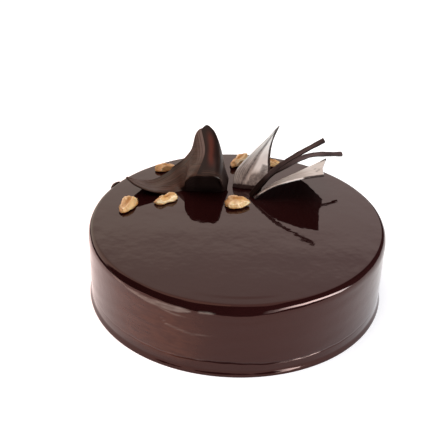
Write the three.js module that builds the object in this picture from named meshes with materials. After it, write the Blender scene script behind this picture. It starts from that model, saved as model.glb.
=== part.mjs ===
// Round brownie cake under a dark mirror glaze, uncut, with chocolate ornaments and nuts on top.
// Millimetres, +Z up. The origin is the middle of the cake's flat underside, and the ornaments
// stand on the top towards +Y. The side that faces the viewer is -Y.

import * as THREE from "three";
import { mergeVertices } from "three/addons/utils/BufferGeometryUtils.js";

// ---- the cake ----
const CAKE_DIAMETER = 230;
const CAKE_HEIGHT = 60;
const CAKE_RADIUS = CAKE_DIAMETER / 2;
const SHOULDER_WIDTH = 4.5; // the rounded rim, measured in from the wall
const SHOULDER_DEPTH = 8; // and down from the top
const FOOT_REACH = 1.3; // glaze that set in a low fillet where the wall meets the ground
const FOOT_HEIGHT = 5;
const CREASE_HEIGHT = 11; // shallow line round the wall, just above the foot
const CREASE_DEPTH = 0.6;
const CREASE_SWAY = 1.6; // how far the crease wanders up and down
const WALL_SWAY = 0.7; // how far the hand-spread wall leaves a true circle
const CAKE_SEGMENTS = 96;

// ---- the ornaments ----
const REST_GAP = 0.3; // between a topping and the glaze under it
const WAVE_THICKNESS = 1.6;
const LEAF_THICKNESS = 1.2;
const STICK_WIDTH = 4.0;
const STICK_THICKNESS = 2.0;
const STICK_LEAN = 35; // degrees that the broad side is turned towards the viewer
const NUT_DETAIL = 3; // subdivisions of each nut's icosahedron

// Colours, roughness and metalness of the three foods.
const GLAZE_LOOK = { color: 0x1f0d0a, roughness: 0.06, metalness: 0 };
const CHOCOLATE_LOOK = { color: 0x3b2620, roughness: 0.22, metalness: 0 };
const LEAF_LOOK = { color: 0x8d7b75, roughness: 0.3, metalness: 0 };
const NUT_LOOK = { color: 0xdcae7c, roughness: 0.55, metalness: 0 };

// The wave is a tapering ribbon of set chocolate. Its tail lies on the left with the front edge
// lifted. As it runs right it rises to a sharp ridge and then turns over into a hood, whose front
// curls forward over a lip and back down to its foot on the glaze. Each station crosses the ribbon
// at four points: its foot (front edge), the lip, the flank and the crest (back edge). x and y are
// on the cake, z is above the glaze.
const WAVE_STATIONS = [
  [[-91.5, 37.2, 12.2], [-91.5, 37.8, 12.1], [-91.5, 38.4, 12.0], [-91.5, 39.0, 12.0]],
  [[-83.0, 29.4, 10.0], [-82.5, 35.0, 8.4], [-82.0, 40.5, 6.6], [-81.5, 46.5, 5.2]],
  [[-72.0, 28.6, 5.8], [-71.5, 37.5, 3.4], [-71.0, 46.0, 2.2], [-71.0, 55.0, 2.4]],
  [[-61.5, 31.4, 2.8], [-60.5, 41.0, 3.0], [-60.0, 50.5, 4.0], [-60.5, 60.0, 5.6]],
  [[-53.5, 36.0, 1.2], [-53.0, 40.8, 3.2], [-52.4, 51.0, 8.0], [-53.2, 60.8, 13.2]],
  [[-48.6, 40.2, 0.9], [-48.2, 42.4, 2.8], [-47.0, 50.5, 11.6], [-46.8, 62.2, 18.0]],
  [[-45.0, 42.4, 0.9], [-44.2, 40.4, 4.6], [-42.6, 48.6, 16.4], [-42.6, 63.4, 22.4]],
  [[-42.6, 42.2, 0.9], [-41.9, 32.2, 14.4], [-39.0, 47.2, 21.8], [-39.4, 65.2, 27.0]],
  [[-39.4, 42.0, 0.9], [-37.8, 30.6, 19.0], [-33.6, 49.0, 26.8], [-36.2, 70.6, 39.0]],
  [[-36.8, 42.3, 0.9], [-35.0, 30.4, 20.4], [-29.2, 50.0, 30.2], [-33.6, 72.0, 42.0]],
  [[-35.0, 42.3, 0.9], [-33.4, 30.2, 20.7], [-27.8, 50.2, 30.8], [-32.2, 72.0, 42.4]],
  [[-30.5, 42.2, 0.9], [-29.8, 29.6, 20.8], [-24.8, 50.6, 30.8], [-28.2, 74.4, 44.6]],
  [[-25.0, 42.1, 0.9], [-24.4, 29.6, 20.9], [-21.2, 50.6, 30.0], [-22.8, 71.0, 42.0]],
  [[-19.2, 42.4, 0.9], [-19.4, 28.8, 21.2], [-17.6, 48.6, 27.4], [-18.6, 66.0, 35.2]],
  [[-15.0, 43.4, 0.9], [-15.6, 29.8, 18.6], [-14.6, 46.0, 22.0], [-15.4, 61.6, 26.6]],
  [[-12.4, 44.6, 0.9], [-13.2, 36.4, 9.4], [-12.0, 47.0, 13.0], [-12.0, 57.2, 13.6]],
  [[-9.6, 47.6, 0.9], [-9.6, 48.6, 2.6], [-9.0, 51.0, 4.4], [-8.8, 54.2, 5.6]],
];
const LIP_FOLD = 0.92; // where the fold at the lip starts, from 0 at the foot to 1 at the lip
const WAVE_COLUMNS = 60;
const WAVE_ROWS = 16;

// Each leaf is a thin wavy blade between two edges, folded along its vein. The edges and the
// vein run from the base outwards.
const LEAF_COLUMNS = 20;
const LEAF_ROWS = 8;
const LEAF_TALL = {
  left: [[-5.0, 50.0, 1.4], [-3.0, 57.5, 11.0], [7.6, 68.6, 20.6], [21.6, 81.0, 30.8], [31.8, 87.6, 39.8]],
  vein: [[3.0, 47.6, 1.4], [9.0, 59.0, 11.0], [17.4, 72.6, 21.8], [25.8, 82.6, 31.6], [32.2, 88.0, 39.8]],
  right: [[18.6, 46.6, 1.4], [25.4, 56.0, 10.6], [25.6, 69.4, 19.8], [27.4, 80.0, 28.8], [32.6, 88.4, 39.6]],
  ripple: 0.5,
};
const LEAF_LOW = {
  left: [[13.6, 34.6, 1.6], [26.6, 54.0, 1.6], [42.0, 70.6, 1.7], [54.0, 76.0, 5.2], [72.4, 70.0, 20.0]],
  vein: [[13.4, 32.0, 1.8], [27.5, 41.5, 7.6], [41.0, 50.0, 11.4], [54.6, 53.0, 15.2], [68.2, 50.6, 21.0]],
  right: [[13.2, 30.6, 2.2], [28.6, 28.4, 14.2], [42.0, 27.8, 19.7], [54.4, 27.4, 23.5], [67.4, 28.8, 25.2]],
  ripple: 0.4,
};

// The sticks are flat bars that rise out of one spot and bend as they go.
const STICK_STEPS = 24;
const STICK_LONG = [
  [10.2, 35.6, 1.6], [17.4, 37.6, 11.0], [30.0, 40.8, 23.2], [46.3, 42.4, 35.2], [66.7, 45.2, 48.9],
];
const STICK_SHORT = [
  [14.6, 42.4, 1.6], [26.0, 46.4, 15.2], [39.7, 51.4, 22.2], [57.4, 62.2, 26.2], [85.6, 74.6, 22.6],
];

// Nut pieces: middle on the cake, length by width by height, and the turn of the length from +X.
// waist pinches a piece in two lobes, taper narrows its far end, dish hollows its top, and raised
// lifts its far side.
const NUTS = [
  { at: [-86.4, 12.4], size: [25, 13, 8], turn: 78, waist: 0, taper: -0.15, dish: 0.3, raised: 0.1 },
  { at: [-57.4, 22.9], size: [21, 12, 8], turn: 33, waist: 0.28, taper: 0.02, dish: 0.2, raised: 0.3 },
  { at: [-1.2, 20.6], size: [21, 18, 8.5], turn: -4, waist: 0, taper: 0.05, dish: 0.15, raised: 0.5 },
  { at: [-63.0, 77.6], size: [17, 12, 6.5], turn: 20, waist: 0.1, taper: 0.1, dish: 0.1, raised: 0.1 },
  { at: [-1.0, 93.8], size: [25, 12, 8], turn: 62, waist: 0.28, taper: -0.1, dish: 0, raised: 0 },
  { at: [28.2, 94.0], size: [15, 12, 6.5], turn: 8, waist: 0.12, taper: 0.1, dish: 0.1, raised: 0.1 },
];
const NUT_LOBES = 12;
const NUT_LOBE_HEIGHT = 0.22; // of the nut's half size
const NUT_SINK = 0.28; // the underside's bulge against the top's
const NUT_BREAKS = 9; // flat faces where the nut was chopped
const FIRST_LOBE_SEED = 11;
const FIRST_BREAK_SEED = 31;

// A drop of chocolate that set on the outside of the shoulder, at the back left.
const DROP_AZIMUTH = 154;
const DROP_WIDTH = 9.5;
const DROP_LEVEL = 0.36; // its middle up the shoulder's curve, from 0 at the wall to 1 at the top
const DROP_SPREAD = 0.34;
const DROP_THICKNESS = 2.0;
const DROP_EDGE = 0.5;
const DROP_GRID = 10;

const DEGREE = Math.PI / 180;

// Repeatable random numbers from 0 to 1.
function randomSource(seed) {
  let state = seed;
  return () => {
    state = (state * 1664525 + 1013904223) % 4294967296;
    return state / 4294967296;
  };
}

function solidFrom(positions, triangles) {
  const geometry = new THREE.BufferGeometry();
  geometry.setAttribute("position", new THREE.Float32BufferAttribute(positions, 3));
  geometry.setIndex(triangles);
  return geometry;
}

function named(name, geometry, look) {
  geometry.computeVertexNormals();
  const mesh = new THREE.Mesh(geometry, new THREE.MeshStandardMaterial(look));
  mesh.name = name;
  return mesh;
}

// How much the wall stands out from a true circle at an azimuth, as a share of WALL_SWAY.
function wallSway(azimuth) {
  const broad = 0.55 * Math.sin(2 * azimuth + 0.7) + 0.3 * Math.sin(3 * azimuth + 2.1);
  return broad + 0.15 * Math.sin(5 * azimuth);
}

function creaseSway(azimuth) {
  return 0.5 * Math.sin(3 * azimuth + 1.2) + 0.3 * Math.sin(7 * azimuth) + 0.2 * Math.sin(11 * azimuth + 0.5);
}

// Radius of the wall at a height, from the foot's fillet over the crease to the shoulder.
function wallRadius(height) {
  const bead = height < FOOT_HEIGHT ? 0.5 + 0.5 * Math.cos(Math.PI * height / FOOT_HEIGHT) : 0;
  const crease = Math.exp(-(((height - CREASE_HEIGHT) / 1.6) ** 2));
  return CAKE_RADIUS + FOOT_REACH * bead - CREASE_DEPTH * crease;
}

// Point of the shoulder, a quarter of a superellipse: 0 at the wall and 1 at the flat top.
function shoulderPoint(share) {
  const angle = share * Math.PI / 2;
  const inward = SHOULDER_WIDTH * (1 - Math.cos(angle) ** 0.9);
  const down = SHOULDER_DEPTH * (1 - Math.sin(angle) ** 0.9);
  return new THREE.Vector2(CAKE_RADIUS - inward, CAKE_HEIGHT - down);
}

function cakeProfile() {
  const wallHeights = [1, 2, 3, 4, 5, 6, 8.5, 9.8, 11, 12.2, 13.5, 17, 25, 34, 43];
  const shoulderSteps = 7;
  const points = [new THREE.Vector2(0, 0), new THREE.Vector2(CAKE_RADIUS * 0.5, 0)];
  points.push(new THREE.Vector2(wallRadius(0), 0));
  for (const height of wallHeights) {
    points.push(new THREE.Vector2(wallRadius(height), height));
  }
  for (let step = 0; step <= shoulderSteps; step += 1) {
    points.push(shoulderPoint(step / shoulderSteps));
  }
  points.push(new THREE.Vector2(CAKE_RADIUS * 0.5, CAKE_HEIGHT), new THREE.Vector2(0, CAKE_HEIGHT));
  return points;
}

// The lathe turns round Y, so the turned solid is stood up, then made slightly uneven.
function cakeBody() {
  const turned = new THREE.LatheGeometry(cakeProfile(), CAKE_SEGMENTS);
  turned.rotateX(Math.PI / 2);
  turned.deleteAttribute("normal");
  turned.deleteAttribute("uv");
  const geometry = mergeVertices(turned, 1e-4);
  const position = geometry.getAttribute("position");
  for (let i = 0; i < position.count; i += 1) {
    const x = position.getX(i);
    const y = position.getY(i);
    const z = position.getZ(i);
    const radius = Math.hypot(x, y);
    const azimuth = Math.atan2(y, x);
    const outer = radius > CAKE_RADIUS * 0.9 ? 1 : 0;
    const lifted = Math.exp(-(((z - CREASE_HEIGHT) / 5) ** 2)) * outer;
    const grown = outer * WALL_SWAY * wallSway(azimuth);
    const scale = radius > 0 ? (radius + grown) / radius : 1;
    const raised = z > 0 ? z + CREASE_SWAY * creaseSway(azimuth) * lifted * (z / (z + 3)) : 0;
    position.setXYZ(i, x * scale, y * scale, raised);
  }
  return geometry;
}

// Triangles of two matching grids of vertices, the first outside, joined round their edge.
function gridTriangles(columns, rows) {
  const layer = (columns + 1) * (rows + 1);
  const index = (column, row) => column * (rows + 1) + row;
  const triangles = [];
  for (let column = 0; column < columns; column += 1) {
    for (let row = 0; row < rows; row += 1) {
      const a = index(column, row);
      const b = index(column + 1, row);
      const c = index(column + 1, row + 1);
      const d = index(column, row + 1);
      triangles.push(a, b, c, a, c, d);
      triangles.push(layer + a, layer + c, layer + b, layer + a, layer + d, layer + c);
    }
  }
  const edge = [];
  for (let column = 0; column < columns; column += 1) edge.push(index(column, 0));
  for (let row = 0; row < rows; row += 1) edge.push(index(columns, row));
  for (let column = columns; column > 0; column -= 1) edge.push(index(column, rows));
  for (let row = rows; row > 0; row -= 1) edge.push(index(0, row));
  edge.forEach((from, i) => {
    const to = edge[(i + 1) % edge.length];
    triangles.push(from, layer + from, layer + to, from, layer + to, to);
  });
  return triangles;
}

// A closed sheet: the middle surface pointAt(u, v) is offset to both sides along its normal,
// both faces are split alike, and a band closes the edge all round.
function sheet(pointAt, columns, rows, thickness) {
  const positions = [];
  const step = 1e-3;
  const shifted = (u, v, side) => {
    const alongU = pointAt(Math.min(u + step, 1), v).sub(pointAt(Math.max(u - step, 0), v));
    const alongV = pointAt(u, Math.min(v + step, 1)).sub(pointAt(u, Math.max(v - step, 0)));
    const normal = alongU.cross(alongV).normalize();
    return pointAt(u, v).addScaledVector(normal, side * thickness / 2);
  };
  for (const side of [1, -1]) {
    for (let column = 0; column <= columns; column += 1) {
      for (let row = 0; row <= rows; row += 1) {
        positions.push(...shifted(column / columns, row / rows, side).toArray());
      }
    }
  }
  return solidFrom(positions, gridTriangles(columns, rows));
}

function smoothCurve(points) {
  return new THREE.CatmullRomCurve3(points.map((p) => new THREE.Vector3(...p)), false, "centripetal");
}

function waveSheet() {
  const rails = WAVE_STATIONS[0].map((_, rail) =>
    smoothCurve(WAVE_STATIONS.map((station) => station[rail])));
  const pointAt = (u, v) => {
    const [foot, lip, flank, crest] = rails.map((rail) => rail.getPoint(u));
    const fold = foot.clone().lerp(lip, LIP_FOLD);
    return new THREE.CatmullRomCurve3([foot, fold, lip, flank, crest], false, "centripetal").getPoint(v);
  };
  return sheet(pointAt, WAVE_COLUMNS, WAVE_ROWS, WAVE_THICKNESS);
}

// The blade arches a little on either side of its vein and ripples along its length.
function leafSheet(leaf) {
  const left = smoothCurve(leaf.left);
  const vein = smoothCurve(leaf.vein);
  const right = smoothCurve(leaf.right);
  const pointAt = (u, v) => {
    const middle = vein.getPoint(u);
    const outer = (v < 0.5 ? left : right).getPoint(u);
    const share = Math.abs(v - 0.5) * 2;
    const point = middle.lerp(outer, share);
    point.z += leaf.ripple * Math.sin(Math.PI * share) * (1 + Math.sin(9 * u)) * (1 - u);
    return point;
  };
  return sheet(pointAt, LEAF_COLUMNS, LEAF_ROWS, LEAF_THICKNESS);
}

// A flat bar swept along a curve, with its broad side across the run and leaning to the viewer.
function stickBar(points) {
  const curve = smoothCurve(points);
  const section = [
    [-0.5, -0.3], [-0.36, -0.5], [0.36, -0.5], [0.5, -0.3],
    [0.5, 0.3], [0.36, 0.5], [-0.36, 0.5], [-0.5, 0.3],
  ];
  const positions = [];
  for (let step = 0; step <= STICK_STEPS; step += 1) {
    const share = step / STICK_STEPS;
    const centre = curve.getPoint(share);
    const run = curve.getTangent(share);
    const across = new THREE.Vector3(0, 0, 1).cross(run).normalize();
    across.applyAxisAngle(run, STICK_LEAN * DEGREE);
    const over = run.clone().cross(across);
    for (const [wide, thick] of section) {
      const corner = centre.clone();
      corner.addScaledVector(across, wide * STICK_WIDTH);
      corner.addScaledVector(over, thick * STICK_THICKNESS);
      positions.push(...corner.toArray());
    }
  }
  const sides = section.length;
  const triangles = [];
  for (let step = 0; step < STICK_STEPS; step += 1) {
    for (let side = 0; side < sides; side += 1) {
      const a = step * sides + side;
      const b = step * sides + (side + 1) % sides;
      triangles.push(a, b, a + sides, b, b + sides, a + sides);
    }
  }
  const last = STICK_STEPS * sides;
  for (let side = 1; side < sides - 1; side += 1) {
    triangles.push(0, side + 1, side, last, last + side, last + side + 1);
  }
  return solidFrom(positions, triangles);
}

// Lumps and furrows of a nut: directions on the unit ball, each with its height.
function nutLobes(seed) {
  const random = randomSource(seed);
  const lobes = [];
  for (let i = 0; i < NUT_LOBES; i += 1) {
    const height = 2 * random() - 1;
    const turn = 2 * Math.PI * random();
    const level = Math.sqrt(1 - height * height);
    const direction = new THREE.Vector3(level * Math.cos(turn), level * Math.sin(turn), height);
    lobes.push({ direction, size: NUT_LOBE_HEIGHT * (random() > 0.35 ? 1 : -1) * (0.6 + 0.4 * random()) });
  }
  return lobes;
}

// Flat broken faces of a nut: outward directions, each with its distance from the middle.
function nutBreaks(seed) {
  const random = randomSource(seed);
  const breaks = [];
  for (let i = 0; i < NUT_BREAKS; i += 1) {
    const height = 1.5 * random() - 0.5;
    const turn = 2 * Math.PI * random();
    const level = Math.sqrt(Math.max(0, 1 - height * height));
    const direction = new THREE.Vector3(level * Math.cos(turn), level * Math.sin(turn), height);
    breaks.push({ direction, distance: 0.7 + 0.22 * random() });
  }
  return breaks;
}

// A broken nut: a ball with lumps, a waist, a taper and a dish, chopped and flattened below.
function nutPiece(nut, number) {
  const lobes = nutLobes(FIRST_LOBE_SEED + number);
  const breaks = nutBreaks(FIRST_BREAK_SEED + number);
  const ball = new THREE.IcosahedronGeometry(1, NUT_DETAIL);
  ball.deleteAttribute("normal");
  ball.deleteAttribute("uv");
  const geometry = mergeVertices(ball, 1e-4);
  const position = geometry.getAttribute("position");
  const point = new THREE.Vector3();
  const [length, width, height] = nut.size;
  const rise = height / (1 + NUT_SINK);
  for (let i = 0; i < position.count; i += 1) {
    point.fromBufferAttribute(position, i);
    let reach = 1 - 0.5 * NUT_LOBE_HEIGHT;
    for (const lobe of lobes) {
      reach += lobe.size * Math.max(0, point.dot(lobe.direction)) ** 8;
    }
    for (const { direction, distance } of breaks) {
      reach = Math.min(reach, distance / Math.max(point.dot(direction), 0.2));
    }
    const narrow = (1 - nut.waist * Math.exp(-((point.x / 0.35) ** 2))) * (1 - nut.taper * point.x);
    const hollow = nut.dish * Math.exp(-((point.x / 0.5) ** 2) - (point.y / 0.35) ** 2);
    const above = point.z * (narrow - hollow) * (1 + nut.raised * point.y);
    const up = point.z < 0 ? point.z * NUT_SINK : above;
    position.setXYZ(
      i,
      point.x * reach * length / 2,
      point.y * reach * narrow * width / 2,
      up * reach * rise,
    );
  }
  geometry.rotateZ(nut.turn * DEGREE);
  geometry.computeBoundingBox();
  geometry.translate(...nut.at, CAKE_HEIGHT + REST_GAP - geometry.boundingBox.min.z);
  return geometry;
}

// The drop follows the shoulder: u runs round the cake and v up the rim's profile.
function shoulderDrop() {
  const middle = DROP_AZIMUTH * DEGREE;
  const positions = [];
  const grid = DROP_GRID;
  for (const outer of [1, 0]) {
    for (let column = 0; column <= grid; column += 1) {
      for (let row = 0; row <= grid; row += 1) {
        const across = 2 * column / grid - 1;
        const up = 2 * row / grid - 1;
        const share = DROP_LEVEL + DROP_SPREAD * up;
        const rim = shoulderPoint(share);
        const next = shoulderPoint(share + 0.01);
        const outward = new THREE.Vector2(next.y - rim.y, rim.x - next.x).normalize();
        const dome = Math.max(0, (1 - across * across) * (1 - up * up));
        const proud = REST_GAP + WALL_SWAY / 2 + outer * (DROP_EDGE + DROP_THICKNESS * dome ** 0.6);
        const radius = rim.x + outward.x * proud;
        const azimuth = middle + across * DROP_WIDTH / 2 / CAKE_RADIUS;
        positions.push(radius * Math.cos(azimuth), radius * Math.sin(azimuth), rim.y + outward.y * proud);
      }
    }
  }
  return solidFrom(positions, gridTriangles(grid, grid));
}

// ---- the whole cake ----
const group = new THREE.Group();
group.add(named("cake_body", cakeBody(), GLAZE_LOOK));
group.add(named("shoulder_drop", shoulderDrop(), CHOCOLATE_LOOK));

const ornaments = new THREE.Group();
ornaments.position.z = CAKE_HEIGHT;
ornaments.add(named("chocolate_wave", waveSheet(), CHOCOLATE_LOOK));
ornaments.add(named("leaf_tall", leafSheet(LEAF_TALL), LEAF_LOOK));
ornaments.add(named("leaf_low", leafSheet(LEAF_LOW), LEAF_LOOK));
ornaments.add(named("stick_long", stickBar(STICK_LONG), CHOCOLATE_LOOK));
ornaments.add(named("stick_short", stickBar(STICK_SHORT), CHOCOLATE_LOOK));
group.add(ornaments);

const nuts = new THREE.Group();
NUTS.forEach((nut, i) => nuts.add(named(`nut_${i + 1}`, nutPiece(nut, i), NUT_LOOK)));
group.add(nuts);

export default group;
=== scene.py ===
"""A round, uncut brownie cake under a dark mirror glaze.

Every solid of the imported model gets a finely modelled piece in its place: the poured glaze, the
combed chocolate wave, the two chocolate leaves, the two bent sticks, the drop on the shoulder and
the six nut pieces. Sizes are in millimetres inside the script, and turned to metres as each mesh
is made. +Z is up and the viewer's side is -Y.
"""

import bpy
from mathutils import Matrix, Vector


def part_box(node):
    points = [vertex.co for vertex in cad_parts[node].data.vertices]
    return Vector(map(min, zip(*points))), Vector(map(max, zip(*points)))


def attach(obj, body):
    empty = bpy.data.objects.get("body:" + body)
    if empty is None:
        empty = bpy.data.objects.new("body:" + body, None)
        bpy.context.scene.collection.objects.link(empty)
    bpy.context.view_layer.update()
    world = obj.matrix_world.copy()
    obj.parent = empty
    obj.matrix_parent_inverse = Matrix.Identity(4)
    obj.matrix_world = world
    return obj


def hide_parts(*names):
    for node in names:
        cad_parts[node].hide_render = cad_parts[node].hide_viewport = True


bl_info = {
    "name": "Brownie Cake",
    "version": (1, 0, 0),
    "blender": (4, 5, 0),
    "location": "View3D > Sidebar > Brownie Cake",
    "description": "Glaze, chocolate ornaments, nut pieces and a plain stage for a brownie cake",
    "category": "Object",
}

import math

import bmesh
import bpy
import numpy as np
from mathutils import Matrix, Vector, noise

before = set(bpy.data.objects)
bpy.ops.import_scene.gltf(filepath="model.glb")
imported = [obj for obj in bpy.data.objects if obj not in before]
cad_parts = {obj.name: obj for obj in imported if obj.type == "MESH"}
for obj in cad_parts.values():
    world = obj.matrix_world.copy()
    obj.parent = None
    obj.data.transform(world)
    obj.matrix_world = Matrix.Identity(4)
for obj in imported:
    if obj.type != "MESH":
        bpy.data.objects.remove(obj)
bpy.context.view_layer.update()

MM = 0.001
BODY = "root"

# ---- the cake, in millimetres ----
SHOULDER_WIDTH = 4.5  # the rounded rim, measured in from the wall
SHOULDER_DEPTH = 8.0  # and down from the top
SHOULDER_POWER = 0.9
FOOT_REACH = 1.3  # the low fillet of glaze that set round the foot
FOOT_HEIGHT = 5.0
CREASE_HEIGHT = 11.0  # the shallow line round the wall, just above the foot
CREASE_DEPTH = 0.9
CREASE_WIDTH = 0.55
CREASE_SWAY = 1.6
CREASE_REACH = 5.0  # how far above and below the crease the wall wanders with it
WALL_SWAY = 0.7  # how far the hand-spread wall leaves a true circle
CAKE_SEGMENTS = 384
TOP_RING_STEP = 1.5
SWELL_WAVES = 7
TOP_SWELL = 0.07  # how far the poured top leaves a true plane
TOP_SWELL_LENGTH = 42
WALL_STROKE = 0.12  # what the spatula left on the wall
WALL_STROKE_LENGTH = 16
WALL_REFLECTION_AZIMUTH = -122  # where a warm brown reflection is painted on the wall, in degrees
WALL_REFLECTION_SPREAD = 0.055
RIM_SAG = 3.4  # how far the rim's curve hangs down where the glaze ran thickest
RIM_SAG_AZIMUTH = 273  # and where that is, in degrees
RIM_SAG_SPREAD = 0.19
RIM_SAG_REACH = 5.0
REFLECTION_STREAKS = [  # painted reflection streaks on the glaze: azimuth in degrees, height and half width in millimetres
    [(-142, 57.0, 0), (-136, 54.8, 0.6), (-130, 53.2, 0.7), (-124, 52.4, 1.5), (-116, 51.8, 2.2),
     (-109, 51.6, 2.2), (-105.5, 52.6, 1.0), (-104.4, 53.0, 0)],
    [(-102.5, 53.6, 0), (-101.0, 53.8, 0.7), (-98.0, 54.2, 0.6), (-95.5, 54.6, 0)],
    [(-120.0, 51.0, 0), (-115.0, 48.6, 0.35), (-110.0, 47.0, 0.4), (-103.0, 46.4, 0)],
    [(-119.0, 50.0, 0), (-113.5, 37.0, 0.35), (-104.0, 33.5, 0.32), (-92.0, 35.0, 0)],
    [(24.0, 55.0, 0), (32.0, 52.6, 1.4), (44.0, 51.4, 2.0), (55.0, 52.8, 0)],
    [(118.0, 49.0, 0), (130.0, 51.4, 1.6), (139.0, 52.4, 1.0), (146.0, 53.0, 0)],
]

# ---- the ornaments, in millimetres; x and y on the cake, z above the glaze ----
WAVE_THICKNESS = 1.6
WAVE_STATIONS = [  # foot, lip, flank and crest of each crossing, from the tail to the right end
    [[-91.5, 37.2, 12.2], [-91.5, 37.8, 12.1], [-91.5, 38.4, 12.0], [-91.5, 39.0, 12.0]],
    [[-83.0, 29.4, 10.0], [-82.5, 35.0, 8.4], [-82.0, 40.5, 6.6], [-81.5, 46.5, 5.2]],
    [[-72.0, 28.6, 5.8], [-71.5, 37.5, 3.4], [-71.0, 46.0, 2.2], [-71.0, 55.0, 2.4]],
    [[-61.5, 31.4, 2.8], [-60.5, 41.0, 3.0], [-60.0, 50.5, 4.0], [-60.5, 60.0, 5.6]],
    [[-53.5, 36.0, 1.2], [-53.0, 40.8, 3.2], [-52.4, 51.0, 8.0], [-53.2, 60.8, 13.2]],
    [[-48.6, 40.2, 0.9], [-48.2, 42.4, 2.8], [-47.0, 50.5, 11.6], [-46.8, 62.2, 18.0]],
    [[-45.0, 42.4, 0.9], [-44.2, 40.4, 4.6], [-42.6, 48.6, 16.4], [-42.6, 63.4, 22.4]],
    [[-42.6, 42.2, 0.9], [-41.9, 32.2, 14.4], [-39.0, 47.2, 21.8], [-39.4, 65.2, 27.0]],
    [[-39.4, 42.0, 0.9], [-37.8, 30.6, 19.0], [-33.6, 49.0, 26.8], [-36.2, 70.6, 39.0]],
    [[-36.8, 42.3, 0.9], [-35.0, 30.4, 20.4], [-29.2, 50.0, 30.2], [-33.6, 72.0, 42.0]],
    [[-35.0, 42.3, 0.9], [-33.4, 30.2, 20.7], [-27.8, 50.2, 30.8], [-32.2, 72.0, 42.4]],
    [[-30.5, 42.2, 0.9], [-29.8, 29.6, 20.8], [-24.8, 50.6, 30.8], [-28.2, 74.4, 44.6]],
    [[-25.0, 42.1, 0.9], [-24.4, 29.6, 20.9], [-21.2, 50.6, 30.0], [-22.8, 71.0, 42.0]],
    [[-19.2, 42.4, 0.9], [-19.4, 28.8, 21.2], [-17.6, 48.6, 27.4], [-18.6, 66.0, 35.2]],
    [[-15.0, 43.4, 0.9], [-15.6, 29.8, 18.6], [-14.6, 46.0, 22.0], [-15.4, 61.6, 26.6]],
    [[-12.4, 44.6, 0.9], [-13.2, 36.4, 9.4], [-12.0, 47.0, 13.0], [-12.0, 57.2, 13.6]],
    [[-9.6, 47.6, 0.9], [-9.6, 48.6, 2.6], [-9.0, 51.0, 4.4], [-8.8, 54.2, 5.6]],
]
LIP_FOLD = 0.92  # where the fold at the lip starts, from 0 at the foot to 1 at the lip
WAVE_COLUMNS = 281
WAVE_ROWS = 161
COMB_DEPTH = 0.03
COMB_LINES = ((9, 1.0), (15, 0.8), (23, 0.6))  # lines across the ribbon, each set with its share

LEAF_THICKNESS = 1.2
ORNAMENT_BEDDED = 1.9  # how deep the ornaments were pushed into the soft glaze
BEDDING_REACH = 5.0  # and up to what height they give way with it
LEAF_COLUMNS = 121
LEAF_ROWS = 81
LEAF_RIBS = 9
LEAF_RIB_DEPTH = 0.08
VEIN_DEPTH = 0.35
LEAVES = {  # left edge, vein and right edge of each blade, from its base outwards
    "leaf_tall": {
        "left": [
            [-5.0, 50.0, 1.4], [-3.0, 57.5, 11.0], [7.6, 68.6, 20.6], [21.6, 81.0, 30.8], [31.8, 87.6, 39.8],
        ],
        "vein": [
            [3.0, 47.6, 1.4], [9.0, 59.0, 11.0], [17.4, 72.6, 21.8], [25.8, 82.6, 31.6], [32.2, 88.0, 39.8],
        ],
        "right": [
            [18.6, 46.6, 1.4], [25.4, 56.0, 10.6], [25.6, 69.4, 19.8], [27.4, 80.0, 28.8], [32.6, 88.4, 39.6],
        ],
        "ripple": 0.5,
    },
    "leaf_low": {
        "left": [
            [13.6, 34.6, 1.6], [26.6, 54.0, 1.6], [42.0, 70.6, 1.7], [54.0, 76.0, 5.2], [72.4, 70.0, 20.0],
        ],
        "vein": [
            [13.4, 32.0, 1.8], [27.5, 41.5, 7.6], [41.0, 50.0, 11.4], [54.6, 53.0, 15.2], [68.2, 50.6, 21.0],
        ],
        "right": [
            [13.2, 30.6, 2.2], [28.6, 28.4, 14.2], [42.0, 27.8, 19.7], [54.4, 27.4, 23.5], [67.4, 28.8, 25.2],
        ],
        "ripple": 0.4,
    },
}

STICK_WIDTH = 4.0
STICK_THICKNESS = 2.0
STICK_LEAN = 35.0  # how far the broad side is turned towards the viewer, in degrees
STICK_STEPS = 110
STICK_SIDES = 28
STICK_END_ROUNDING = 0.35
STICK_SQUARENESS = 0.45  # power of the section's superellipse
STICKS = {
    "stick_long": [
        [10.2, 35.6, 1.6], [17.4, 37.6, 11.0], [30.0, 40.8, 24.4], [46.3, 42.4, 36.6], [66.7, 45.2, 48.9],
    ],
    "stick_short": [
        [14.6, 42.4, 1.6], [26.0, 46.4, 15.2], [39.7, 51.4, 22.2], [57.4, 62.2, 26.2], [85.6, 74.6, 22.6],
    ],
}

# Nut pieces: middle on the cake, length by width by height, and turn of the length from +X. Then how
# far a waist pinches the piece, its far end narrows, its top is hollowed and its far side is raised.
NUTS = [
    dict(at=(-86.4, 12.4), size=(25, 13, 8), turn=78, waist=0, taper=-0.15, dish=0.3, raised=0.1),
    dict(at=(-57.4, 22.9), size=(21, 12, 8), turn=33, waist=0.28, taper=0.02, dish=0.2, raised=0.3),
    dict(at=(-1.2, 20.6), size=(21, 18, 8.5), turn=-4, waist=0, taper=0.05, dish=0.15, raised=0.5),
    dict(at=(-63.0, 77.6), size=(17, 12, 6.5), turn=20, waist=0.1, taper=0.1, dish=0.1, raised=0.1),
    dict(at=(-1.0, 93.8), size=(25, 12, 8), turn=62, waist=0.28, taper=-0.1, dish=0, raised=0),
    dict(at=(28.2, 94.0), size=(15, 12, 6.5), turn=8, waist=0.12, taper=0.1, dish=0.1, raised=0.1),
]
FIRST_NUT_SEED = 11
FIRST_BREAK_SEED = 31
NUT_LOBES = 12
NUT_LOBE_HEIGHT = 0.22
NUT_LOBE_SHARPNESS = 8
NUT_CRAGS = 0.09
NUT_BREAKS = 9  # flat faces where the nut was chopped
NUT_SINK = 0.28
NUT_BEDDED = 0.35  # how deep a nut sits in the glaze
NUT_SUBDIVISIONS = 6

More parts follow.
